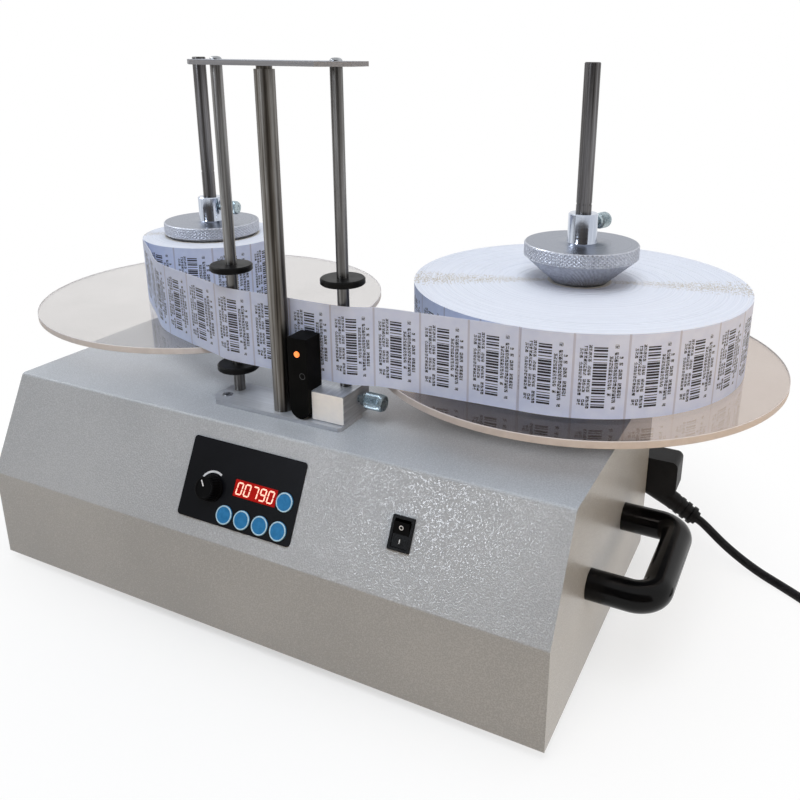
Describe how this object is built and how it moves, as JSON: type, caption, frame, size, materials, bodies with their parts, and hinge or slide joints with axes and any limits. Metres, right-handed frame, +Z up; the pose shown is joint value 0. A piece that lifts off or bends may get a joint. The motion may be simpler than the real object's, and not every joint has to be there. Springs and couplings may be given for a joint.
{
  "type": "label_rewinder",
  "caption": "Bench label rewinder: sloped console with upright spindles, clear roll discs, clamping cones, a web guide with photo sensor, keys, speed knob, carry handles and mains lead.",
  "frame": {"origin": "On the table, under the middle of the box that holds the machine without its mains lead.", "axes": "+X to the right as seen from the control face, +Y to the back, +Z up."},
  "size_m": [0.8071, 0.353, 0.3861],
  "materials": {
    "body_paint": "hammered powder coat",
    "zinc_sheet": "zinc plated",
    "foot_rubber": "matte",
    "screw_steel": "bright",
    "handle_black": "gloss",
    "overlay_black": "satin",
    "display_red": "gloss",
    "board_green": "satin",
    "switch_black": "satin",
    "plug_black": "satin",
    "supply_case": "satin",
    "hub_aluminium": "turned",
    "bearing_steel": "polished",
    "motor_grey": "satin",
    "belt_rubber": "matte",
    "felt": "matte",
    "guide_plate": "brushed",
    "rod_steel": "ground, worn",
    "collar_black": "satin",
    "label_paper": "paper",
    "spindle_steel": "ground, worn",
    "disc_acrylic": "clear",
    "pulley_aluminium": "turned",
    "core_board": "card",
    "cone_aluminium": "turned and knurled",
    "thumb_zinc": "zinc plated",
    "block_aluminium": "satin",
    "sensor_black": "satin",
    "knob_black": "satin",
    "key_blue": "satin",
    "cord_black": "satin"
  },
  "bodies": {
    "console": {"housing": "body_paint", "base_plate": "zinc_sheet", "rubber_feet": "foot_rubber", "case_screws": "screw_steel", "handle_left": "handle_black", "handle_right": "handle_black", "panel_overlay": "overlay_black", "display_module": "display_red", "control_board": "board_green", "rocker_bezel": "switch_black", "mains_inlet": "plug_black", "power_supply": "supply_case", "bearing_housings": "hub_aluminium", "spindle_bearings": "bearing_steel", "gear_motor": "motor_grey", "drive_belt": "belt_rubber", "brake_felt": "felt", "guide_base": "guide_plate", "guide_rod_left": "rod_steel", "guide_rod_right": "rod_steel", "guide_post": "rod_steel", "guide_tie_plate": "guide_plate", "guide_screws": "screw_steel", "label_web": "label_paper", "mains_connector": "plug_black", "mains_cord": "cord_black", "cord_coil": "cord_black", "mains_plug": "plug_black"},
    "takeup_spindle": {"takeup_shaft": "spindle_steel", "takeup_disc_hub": "hub_aluminium", "takeup_disc": "disc_acrylic", "takeup_pulley": "pulley_aluminium", "takeup_core": "core_board", "takeup_roll": "label_paper"},
    "supply_spindle": {"supply_shaft": "spindle_steel", "supply_disc_hub": "hub_aluminium", "supply_disc": "disc_acrylic", "brake_collar": "pulley_aluminium", "supply_core": "core_board", "supply_roll": "label_paper"},
    "motor_drive": {"motor_pulley": "pulley_aluminium"},
    "takeup_cone": {"takeup_cone": "cone_aluminium"},
    "takeup_clamp_screw": {"takeup_clamp_screw": "thumb_zinc"},
    "supply_cone": {"supply_cone": "cone_aluminium"},
    "supply_clamp_screw": {"supply_clamp_screw": "thumb_zinc"},
    "collar_left_upper": {"collar_left_upper": "collar_black"},
    "collar_left_lower": {"collar_left_lower": "collar_black"},
    "collar_right_upper": {"collar_right_upper": "collar_black"},
    "sensor_carriage": {"sensor_block": "block_aluminium", "photo_sensor": "sensor_black"},
    "sensor_thumb_screw": {"sensor_thumb_screw": "thumb_zinc"},
    "speed_knob": {"speed_knob": "knob_black"},
    "rocker": {"rocker": "switch_black"},
    "panel_key_1": {"panel_key_1": "key_blue"},
    "panel_key_2": {"panel_key_2": "key_blue"},
    "panel_key_3": {"panel_key_3": "key_blue"},
    "panel_key_4": {"panel_key_4": "key_blue"},
    "panel_key_5": {"panel_key_5": "key_blue"}
  },
  "joints": [
    {"name": "takeup_spin", "type": "hinge", "parent": "console", "child": "takeup_spindle", "pos_m": [0.17, 0.0265, 0.148], "axis": [0, 0, 1], "continuous": true},
    {"name": "supply_spin", "type": "hinge", "parent": "console", "child": "supply_spindle", "pos_m": [-0.17, 0.0265, 0.148], "axis": [0, 0, 1], "continuous": true},
    {"name": "motor_spin", "type": "hinge", "parent": "console", "child": "motor_drive", "pos_m": [0.06375, -0.00197, 0.088], "axis": [0, 0, 1], "continuous": true},
    {"name": "takeup_cone_slide", "type": "slide", "parent": "takeup_spindle", "child": "takeup_cone", "axis": [0, 0, 1], "range_m": [0, 0.1]},
    {"name": "supply_cone_slide", "type": "slide", "parent": "supply_spindle", "child": "supply_cone", "axis": [0, 0, 1], "range_m": [0, 0.115]},
    {"name": "takeup_clamp_turn", "type": "hinge", "parent": "takeup_cone", "child": "takeup_clamp_screw", "pos_m": [0.17, 0.0265, 0.27388], "axis": [0.342, 0.9397, 0], "range_deg": [0, 360]},
    {"name": "supply_clamp_turn", "type": "hinge", "parent": "supply_cone", "child": "supply_clamp_screw", "pos_m": [-0.17, 0.0265, 0.25804], "axis": [0.9962, 0.0872, 0], "range_deg": [0, 360]},
    {"name": "collar_left_upper_slide", "type": "slide", "parent": "console", "child": "collar_left_upper", "axis": [0, 0, 1], "range_m": [-0.008, 0.12]},
    {"name": "collar_left_lower_slide", "type": "slide", "parent": "console", "child": "collar_left_lower", "axis": [0, 0, 1], "range_m": [-0.015, 0.002]},
    {"name": "collar_right_upper_slide", "type": "slide", "parent": "console", "child": "collar_right_upper", "axis": [0, 0, 1], "range_m": [-0.008, 0.12]},
    {"name": "sensor_swing", "type": "hinge", "parent": "console", "child": "sensor_carriage", "pos_m": [0.045, -0.0945, 0.1513], "axis": [0, 0, 1], "range_deg": [0, 60]},
    {"name": "sensor_screw_turn", "type": "hinge", "parent": "sensor_carriage", "child": "sensor_thumb_screw", "pos_m": [0.045, -0.0945, 0.16372], "axis": [1, 0, 0], "range_deg": [0, 360]},
    {"name": "speed_knob_turn", "type": "hinge", "parent": "console", "child": "speed_knob", "pos_m": [-0.021, -0.16086, 0.10841], "axis": [0, -0.8893, 0.4573], "range_deg": [-150, 150]},
    {"name": "rocker_tilt", "type": "hinge", "parent": "console", "child": "rocker", "pos_m": [0.123, -0.15661, 0.1123], "axis": [-1, 0, 0], "range_deg": [0, 18]},
    {"name": "panel_key_1_press", "type": "slide", "parent": "console", "child": "panel_key_1", "axis": [0, 0.8893, -0.4573], "range_m": [0, 0.0005], "stiffness_N_per_m": 400},
    {"name": "panel_key_2_press", "type": "slide", "parent": "console", "child": "panel_key_2", "axis": [0, 0.8893, -0.4573], "range_m": [0, 0.0005], "stiffness_N_per_m": 400},
    {"name": "panel_key_3_press", "type": "slide", "parent": "console", "child": "panel_key_3", "axis": [0, 0.8893, -0.4573], "range_m": [0, 0.0005], "stiffness_N_per_m": 400},
    {"name": "panel_key_4_press", "type": "slide", "parent": "console", "child": "panel_key_4", "axis": [0, 0.8893, -0.4573], "range_m": [0, 0.0005], "stiffness_N_per_m": 400},
    {"name": "panel_key_5_press", "type": "slide", "parent": "console", "child": "panel_key_5", "axis": [0, 0.8893, -0.4573], "range_m": [0, 0.0005], "stiffness_N_per_m": 400}
  ],
  "couplings": [
    {"joint": "supply_spin", "follows": "takeup_spin", "ratio": 2.0168},
    {"joint": "motor_spin", "follows": "takeup_spin", "ratio": 2}
  ]
}
